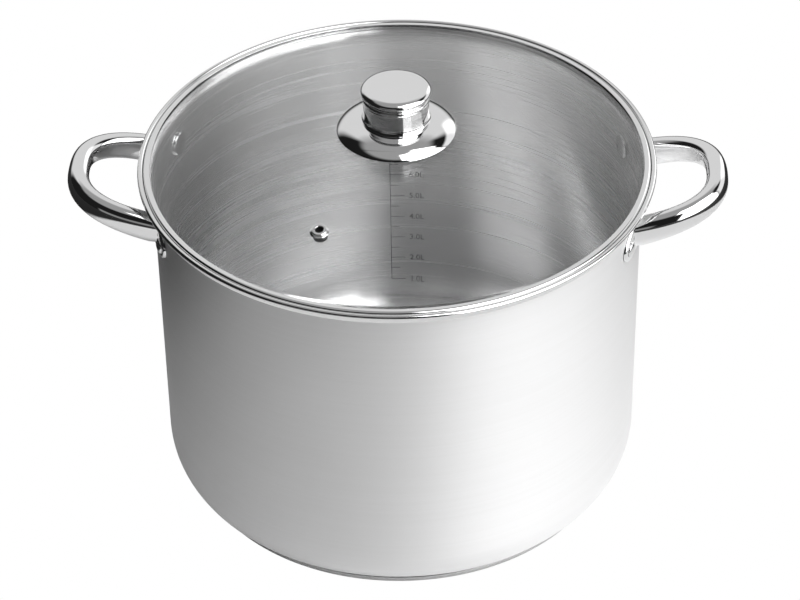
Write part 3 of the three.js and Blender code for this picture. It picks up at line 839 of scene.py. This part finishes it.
def make_knob():
    sheet = 0.8
    middle = turned_size("knob_skirt")[2] - sheet / 2
    flat_r, curve_width, curve_height = 16, 20, 12
    line = [(9.2, middle), (12.5, middle)]
    line += arc(flat_r, middle - curve_height, curve_width, curve_height, 90, 27, 20)
    skirt = lathe("knob_skirt_dome", sheet_outline(line, sheet), 160)
    make_piece("knob_skirt_dome", skirt, POLISHED, "lid", "polished_steel", "knob_skirt")

    _, z0, z1 = turned_size("knob_neck")
    z0 -= 0.1
    sheet = 0.6
    line = [(19.35, z0), (19.38, z0 + 0.9), (19.05, z0 + 1.3), (18.8, z0 + 2.0), (18.65, z0 + 3.2)]
    line += [(18.55, z0 + 5.0), (18.5, z0 + 8.0), (18.5, z0 + 11.0), (18.42, z1 - 3.6)]
    line += arc(17.95, z1 - 2.0, 0.95, 1.15, -50, 70, 8)
    line += [(18.0, z1 - 0.75)]
    line += arc(17.3, z1 - 1.0, 0.7, 0.7, 15, 90, 5)
    line += [(14, z1 - sheet / 2), (9.5, z1 - sheet / 2)]
    neck = lathe("knob_neck_shell", sheet_outline(line, sheet), 128)
    make_piece("knob_neck_shell", neck, POLISHED, "lid", "polished_steel", "knob_neck")

    cap_r, c0, c1 = turned_size("knob_cap")
    sheet = 0.7
    side = cap_r - sheet / 2
    line = [(17.6, c0 + 0.45), (18.3, c0 + 0.5)]
    line += arc(side - 1.5, c0 + 1.9, 1.5, 1.4, -60, 0, 6)
    line += arc(side - 4.2, c0 + 1.9, 4.2, c1 - 0.45 - c0 - 1.9, 6, 90, 16)
    line += [(12, c1 - 0.42), (6, c1 - 0.38), (0, c1 - sheet / 2)]
    cap = lathe("knob_cap_shell", sheet_outline(line, sheet), 128)
    make_piece("knob_cap_shell", cap, KNOB_TOP, "lid", "knob_satin", "knob_cap")

    _, i0, i1 = turned_size("knob_insert")
    seat = middle - 0.4 - 0.3           # just under the skirt's sheet
    outline = [(BOLT_R, i0), (12, i0), (12, seat), (8.6, seat), (8.6, i1 - 2), (13, i1 - 2), (13, i1)]
    outline += [(0, i1), (0, i0 + 17), (BOLT_R, i0 + 17)]
    insert = lathe("knob_insert_turned", outline, 64)
    make_piece("knob_insert_turned", insert, ALUMINIUM, "lid", "aluminium", "knob_insert")

    plain_ring("knob_seal_upper", "knob_gasket_upper", SILICONE, "silicone")
    plain_ring("knob_seal_lower", "knob_gasket_lower", SILICONE, "silicone")
    plain_ring("knob_washer_flat", "knob_washer", RIVET, "rivet_steel")


def make_screw():
    """A pan head screw with its head down, a thread of plain rings and a cross recess."""
    _, z0, z1 = turned_size("knob_screw")
    head_r, shank_r, root_r, pitch = 5.4, 2.2, 1.9, 0.7
    seat = z0 + 3
    outline = [(0, z0)] + [(r, z0 + 0.012 * r * r) for r in (1, 2, 3)]
    outline += arc(head_r - 1.4, z0 + 1.6, 1.4, 1.4, -75, 0, 7)
    outline += [(head_r, seat - 0.2), (5.2, seat), (shank_r, seat)]
    z = seat + 1
    while z < z1 - 2:
        outline += [(shank_r, z), (root_r, z + pitch / 2), (shank_r, z + pitch)]
        z += pitch
    outline += [(1.7, z1), (0, z1)]
    bars = bmesh.new()
    for width, depth in ((5.4, 1.1), (1.1, 5.4)):
        box = bmesh.ops.create_cube(bars, size=1)["verts"]
        bmesh.ops.scale(bars, vec=(width * MM, depth * MM, 3.2 * MM), verts=box)
        bmesh.ops.translate(bars, vec=(0, 0, z0 * MM), verts=box)
    recess = bpy.data.meshes.new("screw_recess")
    bars.to_mesh(recess)
    bars.free()
    screw = cut_away(lathe("screw_blank", outline, 48), recess, True)
    make_piece("knob_screw_pan_head", screw, RIVET, "lid", "rivet_steel", "knob_screw")


# ---------------------------------------------------------------- jar rack
RACK_SHEET, RACK_BEND_R = 1.0, 1.8
HOLE_R, HOLE_STEPS = 7.0, 28
HOLE_RINGS = ((34, 6), (62, 10), (90, 14))      # radius in mm and number of holes of each ring


def circle_points(x, y, radius, steps):
    """Points (x, y) in metres on a circle given in mm."""
    angles = [2 * math.pi * i / steps for i in range(steps)]
    return [((x + radius * math.cos(a)) * MM, (y + radius * math.sin(a)) * MM) for a in angles]


def make_rack():
    """A plate with a turned-down edge and three rings of drilled holes."""
    rack_r, foot, top = turned_size("jar_rack")
    bend_r = rack_r - RACK_BEND_R
    blank = [(0, top - RACK_SHEET), (bend_r, top - RACK_SHEET)]
    blank += arc(bend_r, top - RACK_BEND_R, 0.8, 0.8, 75, 0, 5)
    blank += arc(rack_r - 0.5, foot + 0.5, 0.5, 0.5, 180, 360, 8)
    blank += arc(bend_r, top - RACK_BEND_R, RACK_BEND_R, RACK_BEND_R, 0, 90, 8)
    blank += [(0, top)]
    curve = bpy.data.curves.new("rack_holes", "CURVE")
    curve.dimensions = "2D"
    curve.fill_mode = "BOTH"
    curve.extrude = 3 * MM
    for ring_r, count in HOLE_RINGS:
        for i in range(count):
            around = (i + 0.5) * 2 * math.pi / count
            spline = curve.splines.new("POLY")
            spline.points.add(HOLE_STEPS - 1)
            hole = circle_points(ring_r * math.cos(around), ring_r * math.sin(around), HOLE_R, HOLE_STEPS)
            for point, (x, y) in zip(spline.points, hole):
                point.co = (x, y, 0, 1)
            spline.use_cyclic_u = True
    drills = finished_copy(linked_object("rack_holes", curve))
    drills.transform(Matrix.Translation((0, 0, (top - RACK_SHEET / 2) * MM)))
    mesh = bmesh.new()
    mesh.from_mesh(cut_away(lathe("rack_blank", blank, 192), drills))
    bmesh.ops.remove_doubles(mesh, verts=mesh.verts, dist=1e-7)
    plate = finish_mesh("jar_rack_plate", mesh, 40)
    make_piece("jar_rack_plate", plate, RACK_STEEL, "rack", "rack_steel", "jar_rack")


make_pot()
make_scale()
make_handles()
make_lid()
make_vent()
make_knob()
make_screw()
make_rack()
